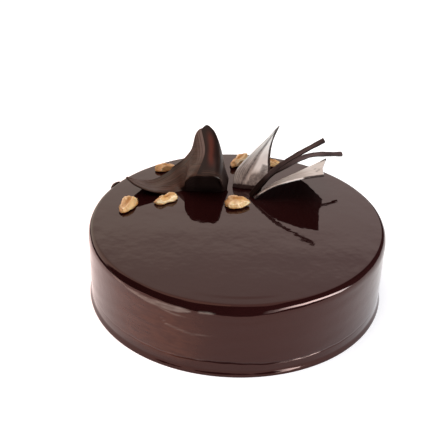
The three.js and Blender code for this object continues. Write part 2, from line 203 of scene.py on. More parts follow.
DROP_AZIMUTH = 154.0
DROP_WIDTH = 9.5
DROP_LEVEL = 0.36
DROP_SPREAD = 0.34
DROP_THICKNESS = 2.0
DROP_EDGE = 0.5
DROP_BEDDED = 0.4
DROP_GRID = 41

# ---- the camera, fitted to the cake's outline ----
CAMERA_PLACE = (0.0, -0.5708, 0.4027)
CAMERA_PITCH = 30.779  # degrees below the horizon
CAMERA_YAW = 1.736
CAMERA_ROLL = 1.444
CAMERA_LENS = 71.5
CAMERA_SENSOR = 36.0

# ---- the room's light: bearings from +Y towards +X and elevations, in degrees ----
STRIP_BEARING = 121  # a bright window strip at the right that runs along the cake's edge
STRIP_ELEVATION = 6
STRIP_CURVE = 62  # it bends down by its distance from the middle squared over this
STRIP_COLOUR = (22.0, 28.0, 30.0, 1)
ROOM_BEHIND = ((1.44, 1.39, 1.15, 1), (1.4, 1.29, 1.37, 1))  # low down, at the left and at the right
ROOM_ABOVE = ((1.06, 0.99, 0.84, 1), (1.05, 0.94, 1.02, 1))
ROOM_OVERHEAD = (1.2, 1.08, 1.04, 1)
ROOM_LEFT = (1.7, 1.5, 1.33, 1)
ROOM_DARK = (0.08, 0.055, 0.055, 1)


def linear(hex_colour):
    """An sRGB hex colour as the linear colour, with alpha 1, that shaders use."""
    channels = [int(hex_colour[i:i + 2], 16) / 255 for i in (1, 3, 5)]
    return tuple(c / 12.92 if c <= 0.04045 else ((c + 0.055) / 1.055) ** 2.4 for c in channels) + (1.0,)


# ---- what a user would change ----


class CakeSizes(bpy.types.PropertyGroup):
    diameter: bpy.props.FloatProperty(
        name="Diameter", description="Across the cake's wall", default=0.230, unit="LENGTH"
    )
    height: bpy.props.FloatProperty(
        name="Height", description="From the underside to the glazed top",
        default=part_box("cake_body")[1].z, unit="LENGTH",
    )
    wave_thickness: bpy.props.FloatProperty(
        name="Wave thickness", description="Of the combed ribbon",
        default=WAVE_THICKNESS * MM, unit="LENGTH",
    )
    leaf_thickness: bpy.props.FloatProperty(
        name="Leaf thickness", description="Of the two blades",
        default=LEAF_THICKNESS * MM, unit="LENGTH",
    )
    stick_width: bpy.props.FloatProperty(
        name="Stick width", description="Of the two bent sticks",
        default=STICK_WIDTH * MM, unit="LENGTH",
    )


class CakeColours(bpy.types.PropertyGroup):
    glaze: bpy.props.FloatVectorProperty(
        name="Glaze", description="Body colour of the mirror glaze",
        default=linear("#220a0a"), size=4, subtype="COLOR", min=0, max=1,
    )
    chocolate: bpy.props.FloatVectorProperty(
        name="Dark chocolate", description="Wave, sticks and drop",
        default=linear("#1d100d"), size=4, subtype="COLOR", min=0, max=1,
    )
    # painted sheen: the grey-brown that the chocolate shows on the sides that face the light
    dull_sheen: bpy.props.FloatVectorProperty(
        name="Scraped chocolate", description="Dull grey-brown where a comb or knife went over it",
        default=linear("#472f26"), size=4, subtype="COLOR", min=0, max=1,
    )
    # painted sheen colour for the broad sides of the two sticks
    stick_sheen: bpy.props.FloatVectorProperty(
        name="Cut sticks", description="Ashen bloom on the broad sides of the two sticks",
        default=linear("#4a3836"), size=4, subtype="COLOR", min=0, max=1,
    )
    # painted sheen: the leaves' pale body stands in for the sheen on glossy dark chocolate
    leaf: bpy.props.FloatVectorProperty(
        name="Leaf", description="Pale body of the leaves",
        default=linear("#c3afa5"), size=4, subtype="COLOR", min=0, max=1,
    )
    # painted sheen, nearly white, on the leaves
    leaf_sheen: bpy.props.FloatVectorProperty(
        name="Leaf sheen", description="Nearly white bloom on the leaves",
        default=linear("#eee5e1"), size=4, subtype="COLOR", min=0, max=1,
    )
    # painted highlight colour for the nuts' ridges and tops
    nut: bpy.props.FloatVectorProperty(
        name="Nut", description="Pale ridges of the nut meat",
        default=linear("#e8c49a"), size=4, subtype="COLOR", min=0, max=1,
    )


# ---- nodes and materials ----


def add_node(tree, kind, inputs=None, **settings):
    """Adds a node, makes its settings, and sets or links its inputs, given by name or number."""
    made = tree.nodes.new(kind)
    for name, value in settings.items():
        setattr(made, name, value)
    for key, value in (inputs or {}).items():
        if isinstance(value, bpy.types.NodeSocket):
            tree.links.new(value, made.inputs[key])
        else:
            made.inputs[key].default_value = value
    return made


def new_material(name):
    """An empty material and its tree."""
    material = bpy.data.materials.new(name)
    material.use_nodes = True
    material.node_tree.nodes.clear()
    return material, material.node_tree


def blend(tree, share, under, over):
    """Mixes two colours, each given as a value or a socket."""
    return add_node(tree, "ShaderNodeMix", {0: share, 6: under, 7: over}, data_type="RGBA").outputs[2]


def dimmed(colour, share):
    return [channel * share for channel in colour[:3]] + [1]


def clouds(tree, vector, size, detail):
    """Soft noise from 0 to 1 whose lumps are about size millimetres across."""
    return add_node(
        tree, "ShaderNodeTexNoise", {"Vector": vector, "Scale": 1 / (size * MM), "Detail": detail}
    ).outputs[0]


def painted(tree, label):
    """A value that the mesh carries at its corners."""
    return add_node(tree, "ShaderNodeAttribute", attribute_name=label).outputs["Fac"]


def ranged(tree, value, start, end, low=0.0, high=1.0, **settings):
    """Runs from low to high while the value runs from start to end."""
    inputs = {0: value, 1: start, 2: end, 3: low, 4: high}
    return add_node(tree, "ShaderNodeMapRange", inputs, **settings).outputs[0]


def maths(tree, operation, *values):
    return add_node(tree, "ShaderNodeMath", dict(enumerate(values)), operation=operation).outputs[0]


def bumped(tree, height, strength, depth):
    """The normal over a relief that is depth millimetres deep."""
    inputs = {"Height": height, "Strength": strength, "Distance": depth * MM}
    return add_node(tree, "ShaderNodeBump", inputs).outputs[0]


def surface(tree, inputs):
    """Ends a material's tree in one Principled shader."""
    shader = add_node(tree, "ShaderNodeBsdfPrincipled", inputs)
    add_node(tree, "ShaderNodeOutputMaterial", {"Surface": shader.outputs[0]})


def mirror_glaze(colours):
    """Cocoa mirror glaze, poured warm and set with gelatine: a wet gloss, with milky painted reflection
    streaks and a warm brown painted reflection on the front-left wall, dull in the crease."""
    material, tree = new_material("mirror_glaze_poured")
    place = add_node(tree, "ShaderNodeTexCoord").outputs["Object"]
    drawn = add_node(tree, "ShaderNodeMapping", {"Vector": place, "Scale": (0.25, 0.25, 1.0)}).outputs[0]
    patchiness = ranged(tree, clouds(tree, drawn, 2.4, 2), 0.35, 0.62, 0.45, 1.0)
    # painted reflection: milky pale streaks on the glaze
    reflected_streak = maths(tree, "MULTIPLY", painted(tree, "streak_reflection"), patchiness)
    # painted reflection: a warm brown patch on the front-left wall
    warm_reflected = maths(tree, "MULTIPLY", painted(tree, "wall_warm_reflection"), patchiness)
    body = blend(tree, clouds(tree, place, 28, 2), colours.glaze, dimmed(colours.glaze, 0.72))
    body = blend(tree, warm_reflected, body, linear("#442318"))
    body = blend(tree, reflected_streak, body, linear("#7a6b63"))
    wet = ranged(tree, clouds(tree, place, 9, 3), 0.35, 0.75, 0.03, 0.08)
    surface(tree, {
        "Base Color": body,
        "Roughness": maths(tree, "MULTIPLY_ADD", painted(tree, "folded"), 0.6, wet),
        "IOR": 1.47,
        "Specular Tint": (1.0, 0.55, 0.47, 1.0),
        "Normal": bumped(tree, clouds(tree, place, 7, 1), 1.0, 0.07),
    })
    return material


def dark_chocolate(process, colours, painted_sheen):
    """Tempered dark chocolate, poured, combed or cut as it set: satin and nearly black, greyer and dull
    where a sheen is painted on the sides that face the light, and red-brown where a warm reflection is
    painted."""
    material, tree = new_material("dark_chocolate_" + process)
    uv = add_node(tree, "ShaderNodeUVMap").outputs[0]
    along = add_node(tree, "ShaderNodeMapping", {"Vector": uv, "Scale": (0.06, 1.0, 1.0)}).outputs[0]
    grain = clouds(tree, along, 1.6, 3)
    comb = add_node(
        tree, "ShaderNodeTexWave",
        {"Vector": uv, "Scale": 0.314 / (1.7 * MM), "Distortion": 0.8, "Detail": 2.0}, bands_direction="Y",
    ).outputs["Fac"]
    ribs = maths(tree, "MULTIPLY", comb, painted(tree, "ribbed"))
    dull_and_lit = maths(tree, "MAXIMUM", painted(tree, "dull_sheen"), ribs)
    fresh = blend(tree, grain, dimmed(colours.chocolate, 0.75), colours.chocolate)
    # painted sheen: the lighter tone where the pieces face the light
    sheen_tone = blend(tree, ranged(tree, grain, 0.35, 0.65), dimmed(painted_sheen, 0.5), dimmed(painted_sheen, 1.2))
    # painted sheen, lighter towards the top of the flank
    sheen_tone = blend(tree, painted(tree, "upper_flank_sheen"), sheen_tone, linear("#7d6862"))
    surface(tree, {
        "Base Color": blend(tree, painted(tree, "hood_warm_reflection"), blend(tree, dull_and_lit, fresh, sheen_tone), linear("#4c1f16")),
        "Roughness": maths(tree, "MULTIPLY_ADD", dull_and_lit, 0.1, 0.42),
        "Specular IOR Level": 0.2,
        "Specular Tint": (1.0, 0.82, 0.75, 1.0),
        "Normal": bumped(tree, maths(tree, "ADD", grain, ribs), 0.35, 0.12),
    })
    return material


def brushed_leaf(colours):
    """Chocolate blade brushed on acetate: a pale, silky sheen painted into its colour, with a dark vein and
    dark edges of painted shade.
    """
    material, tree = new_material("leaf_chocolate_brushed")
    uv = add_node(tree, "ShaderNodeUVMap").outputs[0]
    along = add_node(tree, "ShaderNodeMapping", {"Vector": uv, "Scale": (0.12, 1.0, 1.0)}).outputs[0]
    strokes = clouds(tree, along, 2.2, 4)
    patchy = ranged(tree, clouds(tree, uv, 2.4, 2), 0.3, 0.7, 0.7, 1.15)
    shade = painted(tree, "shade")
    tone = blend(tree, ranged(tree, strokes, 0.36, 0.64), dimmed(colours.leaf, 0.58), colours.leaf)
    pale = blend(tree, painted(tree, "sheen"), tone, colours.leaf_sheen)
    surface(tree, {
        "Base Color": blend(tree, maths(tree, "MULTIPLY", shade, patchy), pale, linear("#28130f")),
        "Roughness": maths(tree, "MULTIPLY_ADD", shade, 0.25, 0.36),
        "IOR": 1.45,
        "Normal": bumped(tree, strokes, 0.3, 0.12),
    })
    return material


def toasted_nut(colours):
    """Broken nut meat, lightly toasted: dry and waxy, pale on its ridges and top with painted highlights,
    golden between them and brown below, where skin and painted shade lie."""
    material, tree = new_material("nut_toasted")
    place = add_node(tree, "ShaderNodeTexCoord").outputs["Object"]
    mottle = clouds(tree, place, 2, 4)
    spots = ranged(tree, mottle, 0.48, 0.7, 0.0, 0.7)
    meat = blend(tree, spots, linear("#bc8242"), linear("#88501e"))
    golden = blend(tree, painted(tree, "heart"), meat, linear("#a66a1a"))
    highlighted = blend(tree, painted(tree, "ridge_highlight"), golden, colours.nut)
    surface(tree, {
        "Base Color": blend(tree, painted(tree, "skin_and_shade"), highlighted, linear("#66380f")),
        "Roughness": 0.45,
        "IOR": 1.47,
        "Subsurface Weight": 0.08,
        "Subsurface Scale": 1.5 * MM,
        "Normal": bumped(tree, mottle, 0.8, 0.35),
    })
    return material


# ---- meshes ----


def add_piece(name, corners, faces, material, uv=None, shades=None):
    """Makes a mesh, in metres, from corners in millimetres, and puts it in a solid's place."""
    mesh = bpy.data.meshes.new(name)
    mesh.from_pydata((np.asarray(corners) * MM).tolist(), [], [list(face) for face in faces])
    mesh.shade_smooth()
    if uv is not None:
        corner_of = np.zeros(len(mesh.loops), np.int32)
        mesh.loops.foreach_get("vertex_index", corner_of)
        mesh.uv_layers.new(name="UVMap").data.foreach_set("uv", (uv[corner_of] * MM).ravel())
    for label, values in (shades or {}).items():
        mesh.attributes.new(label, "FLOAT", "POINT").data.foreach_set("value", np.ravel(values))
    mesh.materials.append(material)
    piece = bpy.data.objects.new(name + "_finished", mesh)
    bpy.context.scene.collection.objects.link(piece)
    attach(piece, BODY)
    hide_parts(name)
    return piece


def smooth_curve(points, shares):
    """Centripetal Catmull-Rom curves. The points run along the first axis, several curves abreast."""
    points = np.asarray(points, float)
    last = len(points) - 1
    made = []
    for share in shares:
        leg = min(int(share * last), last - 1)
        t = share * last - leg
        here, there = points[leg], points[leg + 1]
        before = points[leg - 1] if leg else 2 * here - there
        after = points[leg + 2] if leg + 2 <= last else 2 * there - here
        d0, d1, d2 = (
            np.sqrt(np.linalg.norm(b - a, axis=-1, keepdims=True)) + 1e-9
            for a, b in ((before, here), (here, there), (there, after))
        )
        leave = (here - before) / d0 - (there - before) / (d0 + d1) + (there - here) / d1
        arrive = (there - here) / d1 - (after - here) / (d1 + d2) + (after - there) / d2
        leave, arrive = leave * d1, arrive * d1
        made.append(
            here + leave * t
            + (3 * (there - here) - 2 * leave - arrive) * t ** 2
            + (2 * (here - there) + leave + arrive) * t ** 3
        )
    return np.array(made)


def gathered(count):
    """Shares from 0 to 1 that crowd towards both ends, where the edges are rounded."""
    return 0.5 - 0.5 * np.cos(np.pi * np.linspace(0, 1, count))


def travelled(middle, axis):
    """How far each grid point lies along its line, in millimetres."""
    steps = np.linalg.norm(np.diff(middle, axis=axis), axis=-1)
    return np.insert(np.cumsum(steps, axis), 0, 0, axis)


def sheet_faces(columns, rows):
    """Both faces of a sheet and the band round its edge."""
    index = np.arange(columns * rows).reshape(columns, rows)
    quads = np.stack([index[:-1, :-1], index[1:, :-1], index[1:, 1:], index[:-1, 1:]], -1).reshape(-1, 4)
    edge = np.concatenate([index[:-1, 0], index[-1, :-1], index[:0:-1, -1], index[0, :0:-1]])
    after = np.roll(edge, -1)
    layer = columns * rows
    band = np.stack([edge, edge + layer, after + layer, after], -1)
    return np.concatenate([quads, quads[:, ::-1] + layer, band]).tolist()


def sheet(name, middle, thickness, relief, height, material, marks):
    """A closed sheet round a grid of middle points, on a cake of that height. Each mark has values for its
    upper and its lower face."""
    normal = np.cross(np.gradient(middle, axis=0), np.gradient(middle, axis=1))
    normal /= np.linalg.norm(normal, axis=-1, keepdims=True)
    along, across = travelled(middle, 0), travelled(middle, 1)
    edge = np.minimum.reduce([along, along[-1:] - along, across, across[:, -1:] - across])
    nearness = np.clip(1 - edge / (thickness / 2), 0, 1)
    half = thickness / 2 * np.maximum(np.sqrt(1 - nearness ** 2), 0.15)
    faded = relief * (1 - nearness)
    layers = [middle + normal * (side * half + faded)[..., None] for side in (1, -1)]
    corners = bedded(np.concatenate([layer.reshape(-1, 3) for layer in layers]), height)
    uv = np.tile(np.stack([along, across], -1).reshape(-1, 2), (2, 1))
    order = 1 if normal[..., 2].mean() > 0 else -1
    shades = {
        label: np.concatenate([np.broadcast_to(face, middle.shape[:2]) for face in pair[::order]])
        for label, pair in marks.items()
    }
    return add_piece(name, corners, sheet_faces(*middle.shape[:2]), material, uv, shades)


def bedded(corners, height):
    """Ornament corners above the glaze, set on the cake with their lowest stretch pushed into it."""
    level = corners[..., 2]
    sunk = level - ORNAMENT_BEDDED * np.clip(1 - level / BEDDING_REACH, 0, 1)
    return np.concatenate([corners[..., :2], (sunk + height)[..., None]], -1)


def soft(value, near, far):
    """An even step from 0 at near to 1 at far."""
    share = np.clip((value - near) / (far - near), 0, 1)
    return share * share * (3 - 2 * share)


def bump_at(value, middle, width):
    return np.exp(-(((value - middle) / width) ** 2))


def random_source(seed):
    """Repeatable random numbers from 0 to 1."""
    state = seed
    while True:
        state = (state * 1664525 + 1013904223) % 4294967296
        yield state / 4294967296


# ---- the glazed cake ----


def swell(x, y, wavelength, seed):
    """Slow, even unevenness of a poured surface, from -1 to 1."""
    random = random_source(seed)
    total = np.zeros_like(x)
    for _ in range(SWELL_WAVES):
        turn = 2 * math.pi * next(random)
        length = wavelength * (0.6 + next(random))
        phase = 2 * math.pi * next(random)
        total += np.sin(2 * math.pi * (x * math.cos(turn) + y * math.sin(turn)) / length + phase)
    return total / SWELL_WAVES


def wall_sway(azimuth):
    return (
        0.55 * np.sin(2 * azimuth + 0.7) + 0.3 * np.sin(3 * azimuth + 2.1) + 0.15 * np.sin(5 * azimuth)
    )


def crease_sway(azimuth):
    return (
        0.5 * np.sin(3 * azimuth + 1.2) + 0.3 * np.sin(7 * azimuth) + 0.2 * np.sin(11 * azimuth + 0.5)
        + 0.15 * np.sin(47 * azimuth)
    )


def foot_fillet(height):
    """How far the glaze reaches out round the foot."""
    return FOOT_REACH * np.where(height < FOOT_HEIGHT, 0.5 + 0.5 * np.cos(np.pi * height / FOOT_HEIGHT), 0)


def crease(around, level):
    """The crease, from 0 to 1: sharp at the front and at the back, and nearly filled in between."""
    broken = 0.7 + 0.2 * np.sin(23 * around + 1) + 0.1 * np.sin(61 * around)
    strength = 0.05 + 0.95 * np.abs(np.sin(around - 0.12)) ** 7 * broken
    return strength * bump_at(level, CREASE_HEIGHT, CREASE_WIDTH)


def reflection_streaks(around, level):
    """Painted reflection streaks on the glaze, milky pale: 1 on a streak, 0 off it."""
    turn = np.degrees(np.angle(np.exp(1j * around)))
    pale = np.zeros_like(level)
    for run in REFLECTION_STREAKS:
        azimuths, heights, halves = zip(*run)
        half = np.interp(turn, azimuths, halves, left=0, right=0)
        off = np.abs(level - np.interp(turn, azimuths, heights))
        pale = np.maximum(pale, soft(off, half + 0.8, half - 0.6) * soft(half, 0, 0.6))
    return pale


def shoulder_offset(share):
    """The rim's superellipse, from 0 at the wall to 1 at the top: inwards and downwards."""
    angle = share * np.pi / 2
    inward = SHOULDER_WIDTH * (1 - np.maximum(np.cos(angle), 0) ** SHOULDER_POWER)
    down = SHOULDER_DEPTH * (1 - np.sin(angle) ** SHOULDER_POWER)
    return inward, down


def cake_profile(radius, height):
    """Radius and height of every ring, from the underside up the wall and in over the top."""
    underside = [[radius * share, 0] for share in (0.3, 0.6, 0.9, 0.98)]
    wall_top = height - SHOULDER_DEPTH
    levels = np.concatenate([
        np.linspace(0, FOOT_HEIGHT, 14), np.linspace(FOOT_HEIGHT, 17, 48)[1:],
        np.linspace(17, 44, 28)[1:], np.linspace(44, wall_top, 20)[1:-1],
    ])
    wall = np.stack([radius + foot_fillet(levels), levels], -1)
    inward, down = shoulder_offset(np.linspace(0, 1, 30))
    rim = np.stack([radius - inward, height - down], -1)
    flat = radius - SHOULDER_WIDTH
    top = np.arange(flat - TOP_RING_STEP, 0.5, -TOP_RING_STEP)
    return np.concatenate([underside, wall, rim, np.stack([top, np.full_like(top, height)], -1)])


def turned_faces(rings, segments):
    """Quads between rings, and a fan at the middle of the underside and of the top."""
    index = np.arange(rings * segments).reshape(rings, segments)
    beside = np.roll(index, -1, axis=1)
    quads = np.stack([index[:-1], beside[:-1], beside[1:], index[1:]], -1).reshape(-1, 4).tolist()
    under, over = rings * segments, rings * segments + 1
    fans = [[under, b, a] for a, b in zip(index[0], beside[0])]
    fans += [[over, a, b] for a, b in zip(index[-1], beside[-1])]
    return quads + fans


def glazed_cake(sizes, material):
    radius, height = sizes.diameter / MM / 2, sizes.height / MM
    profile = cake_profile(radius, height)
    azimuth = np.linspace(0, 2 * np.pi, CAKE_SEGMENTS, endpoint=False)
    ring, level = (np.repeat(column[:, None], CAKE_SEGMENTS, 1) for column in profile.T)
    around = np.broadcast_to(azimuth, ring.shape)
    outer = ring > radius * 0.9
    near_crease = np.exp(-(((level - CREASE_HEIGHT) / CREASE_REACH) ** 2)) * outer
    raised = np.where(
        level > 0, level + CREASE_SWAY * crease_sway(around) * near_crease * level / (level + 3), 0
    )
    folded = crease(around, level)
    stroke = WALL_STROKE * swell(around * radius * 0.35, level * 1.6, WALL_STROKE_LENGTH, seed=5)
    on_wall = np.clip(level / 4, 0, 1) * np.clip((height - level) / SHOULDER_DEPTH, 0, 1)
    grown = ring + outer * (WALL_SWAY * wall_sway(around) + on_wall * stroke - CREASE_DEPTH * folded)
    ran = RIM_SAG * bump_at(around, np.radians(RIM_SAG_AZIMUTH), RIM_SAG_SPREAD)
    ran += 0.3 * np.sin(17 * around) + 0.2 * np.sin(41 * around)
    raised = raised - outer * ran * bump_at(level, height - SHOULDER_DEPTH, RIM_SAG_REACH)
    x, y = grown * np.cos(around), grown * np.sin(around)
    inside = np.clip((radius - SHOULDER_WIDTH - ring) / 6, 0, 1) * (level > height / 2)
    raised = raised + TOP_SWELL * swell(x, y, TOP_SWELL_LENGTH, seed=3) * inside
    corners = np.stack([x, y, raised], -1).reshape(-1, 3)
    corners = np.concatenate([corners, [[0, 0, 0], [0, 0, raised[-1].mean()]]])
    faces = turned_faces(len(profile), CAKE_SEGMENTS)
    # painted warm reflection on the wall at the front left
    front_left = bump_at(np.cos(around - np.radians(WALL_REFLECTION_AZIMUTH)), 1, WALL_REFLECTION_SPREAD)
    shades = {
        "streak_reflection": reflection_streaks(around, level), "folded": folded,
        "wall_warm_reflection": front_left * soft(level, 4, 12) * soft(level, 55, 46),
    }
    marks = {label: np.append((values * outer).ravel(), [0, 0]) for label, values in shades.items()}
    return add_piece("cake_body", corners, faces, material, shades=marks)


def shoulder_drop(sizes, material):
    """A drop of chocolate that set on the outside of the shoulder, at the back left."""
    radius, height = sizes.diameter / MM / 2, sizes.height / MM
    across, up = np.meshgrid(np.linspace(-1, 1, DROP_GRID), np.linspace(-1, 1, DROP_GRID), indexing="ij")
    share = DROP_LEVEL + DROP_SPREAD * up
    inward, down = shoulder_offset(share)
    further_in, further_down = shoulder_offset(share + 0.01)
    out, rise = down - further_down, further_in - inward
    length = np.hypot(out, rise)
    dome = np.clip((1 - across ** 2) * (1 - up ** 2), 0, None) ** 0.6
    azimuth = math.radians(DROP_AZIMUTH) + across * DROP_WIDTH / 2 / radius
    layers = []
    for proud in (DROP_THICKNESS * dome + DROP_EDGE, np.full_like(dome, -DROP_BEDDED)):
        reach = radius - inward + proud * out / length
        layers.append(np.stack([
            reach * np.cos(azimuth), reach * np.sin(azimuth), height - down + proud * rise / length,
        ], -1).reshape(-1, 3))
    corners = np.concatenate(layers)
    faces = sheet_faces(DROP_GRID, DROP_GRID)
    flat = np.tile(np.stack([across, up], -1).reshape(-1, 2) * DROP_WIDTH / 2, (2, 1))
    # painted sheen: the drop takes the lighter grey-brown tone all over
    marks = {"dull_sheen": np.full(len(corners), 0.7)}
    return add_piece("shoulder_drop", corners, faces, material, flat, marks)


# ---- the ornaments ----


def wave_marks(station, v):
    """Painted light on the ribbon: a grey, dull sheen where the flank and the tail face the light, shade
    along the tail's crest, a highlight along the lip and a red-brown reflection on the hood; also fine ribs
    that cross it. Stations count from the tail to the right end, and v runs from the foot over the lip to the
    crest."""
    # painted sheen, grey and dull, on the flank and the tail, where they face the light
    flank = soft(station, 9.95, 9.6) * soft(v, 0.46, 0.5)
    tail = soft(station, 5.6, 5.0) * np.ones_like(v)
    # painted shade: a dark line along the tail's crest
    crest_shade_line = bump_at(v, 0.89, 0.02) * soft(station, 7, 6) * soft(station, 2.4, 3.2)
    # painted highlight along the lip's edge
    lip = bump_at(v, 0.507, 0.012) * soft(station, 9.5, 10.2) * soft(station, 15.2, 14.6)
    thread = (bump_at(station, 13.2, 0.1) + bump_at(station, 13.8, 0.1)) * soft(v, 0.66, 0.75)
    # painted shade, darker along the top of the tail's crest
    crest_shade = soft(v, 0.9, 0.97) * soft(station, 5.6, 5) * soft(station, 1.5, 2.5)
    dull_and_lit = np.maximum(np.maximum(flank, tail) * (1 - 0.7 * crest_shade_line) * (1 - 0.8 * crest_shade), 0.8 * lip)
    # painted red-brown reflection: a vertical streak on the hood
    reflection_middle = 11.35 + 0.7 * soft(v, 0.74, 0.62)
    hood_warm_reflection = 0.9 * bump_at(station, reflection_middle, 0.6) * soft(v, 0.58, 0.7) * soft(v, 0.98, 0.86)
    # painted sheen, lighter towards the top of the flank
    upper_flank_sheen = flank * soft(station, 7.2, 9) * soft(v, 0.6, 0.8) * (0.58 + 0.26 * np.sin(13 * station + 5 * v))
    ribbed = bump_at(v, 0.55, 0.035) * soft(station, 10.5, 11.2) * soft(station, 15, 14.3)
    dull_sheen = np.maximum(dull_and_lit, 0.4 * thread)
    return {"dull_sheen": dull_sheen, "hood_warm_reflection": hood_warm_reflection, "ribbed": 0.7 * ribbed, "upper_flank_sheen": upper_flank_sheen}


def combed_wave(sizes, material):
    u, v = gathered(WAVE_COLUMNS), gathered(WAVE_ROWS)
    rails = smooth_curve(WAVE_STATIONS, u)
    fold = rails[:, :1] + LIP_FOLD * (rails[:, 1:2] - rails[:, :1])
    crossings = np.concatenate([rails[:, :1], fold, rails[:, 1:]], axis=1)
    middle = smooth_curve(crossings.transpose(1, 0, 2), v).transpose(1, 0, 2)
    station, v = u[:, None] * (len(WAVE_STATIONS) - 1), v[None, :]
    lines = sum(share * np.sin(2 * np.pi * count * v + count) for count, share in COMB_LINES)
    pressed = COMB_DEPTH * lines * soft(station, 9.6, 8)
    marks = {label: (values, 0 * values) for label, values in wave_marks(station, v).items()}
    return sheet(
        "chocolate_wave", middle, sizes.wave_thickness / MM, pressed, sizes.height / MM, material,
        marks,
    )


def leaf_tall_marks(u, v):
    """Painted shade on the vein, edge, tip and base of the tall leaf, and painted sheen on its nearly
    white right half. u runs from the base to the tip, and v from the left edge to the right."""
    vein = np.interp(u, (0, 0.09, 0.24, 0.36, 0.49, 0.61, 1), (0.41, 0.40, 0.43, 0.45, 0.42, 0.48, 0.5))
    rib = np.exp(-((np.abs(v - vein) / (0.12 * (1 - 0.3 * u))) ** 3))
    core = bump_at(v, vein, 0.04)
    rim = np.interp(u, (0, 0.25, 0.5, 0.75, 0.9, 1), (0.95, 0.935, 0.89, 0.78, 0.5, 0.4))
    edge = soft(v - rim, -0.015, 0.015) * soft(u, 0.2, 0.28)
    patch = soft(v, 0.72, 0.78) * soft(u, 0.19, 0.22) * soft(u, 0.37, 0.35)
    low_right = soft(v, 0.54, 0.6) * soft(u - 0.2 * v, 0.12, 0.05)
    low_left = soft(u, 0.7, 0.2) * soft(v, 0.42, 0.3) * (0.7 + 0.3 * np.sin(90 * v + 4 * u))
    shade = np.maximum.reduce([
        0.62 * rib, 0.85 * core, 1.2 * edge, 0.9 * soft(u, 0.85, 0.93) + 0 * v, 0.7 * patch,
        0.7 * low_right, 0.68 * low_left, 1.5 * soft(u, 0.075, 0.03) + 0 * v,
    ])
    sheen = np.maximum(
        0.75 * soft(v, 0.52, 0.6) * soft(u, 0.18, 0.32), soft(v, 0.12, 0.02) * soft(u, 0.2, 0.4)
    )
    return shade, np.maximum(sheen, 0.25 * soft(u, 0.2, 0.5))


def leaf_low_marks(u, v):
    """Painted shade on the grey near end of the low leaf, painted sheen on its pale far end, and a rim that
    is a painted highlight first and painted shade after.
    """
    places = ((0.94, 0.6), (0.89, 0.48), (0.91, 0.66))
    spots = sum(bump_at(u, far, 0.016) * bump_at(v, across, 0.04) for far, across in places)
    rim = soft(v, 0.9, 0.95)
    shade = np.maximum.reduce([
        0.62 * soft(u, 0.5, 0.25) * (1 - rim), 0.3 * soft(u, 0.85, 0.6) * (1 - rim),
        soft(u, 0.08, 0.03) + 0 * v, 1.2 * rim * soft(u, 0.67, 0.73), 0.8 * spots,
        1.1 * soft(u, 0.93, 0.97) * soft(v, 0.16, 0.05),
    ])
    bright_rim = (0.1 + 0.7 * soft(u, 0.3, 0.45)) * rim * soft(u, 0.72, 0.66)
    return shade, np.maximum(0.5 * soft(u, 0.6, 0.95) * (1 - rim), bright_rim)


def leaf(name, sizes, material):
    """A blade between two edges, folded along its vein, with fine ribs that run out from the vein."""
    shape = LEAVES[name]
    u, v = gathered(LEAF_COLUMNS), gathered(LEAF_ROWS)
    rails = smooth_curve(np.transpose([shape["left"], shape["vein"], shape["right"]], (1, 0, 2)), u)
    share = np.abs(v - 0.5) * 2
    outer = np.where((v < 0.5)[None, :, None], rails[:, None, 0], rails[:, None, 2])
    middle = rails[:, None, 1] * (1 - share)[None, :, None] + outer * share[None, :, None]
    u, v, share = u[:, None], v[None, :], share[None, :]
    waves = (1 + np.sin(9 * u)) * (1 - u) * soft(u, 0, 0.1)
    middle[..., 2] += shape["ripple"] * np.sin(np.pi * share) * waves
    ribs = np.sin(2 * np.pi * (LEAF_RIBS * u - 1.6 * share))
    relief = LEAF_RIB_DEPTH * ribs * np.sin(np.pi * share) - VEIN_DEPTH * bump_at(share, 0, 0.05)
    shade, sheen = (leaf_tall_marks if name == "leaf_tall" else leaf_low_marks)(u, v)
    marks = {"shade": (shade, 1.5), "sheen": (sheen, 0.0)}
    return sheet(
        name, middle, sizes.leaf_thickness / MM, relief, sizes.height / MM, material, marks
    )


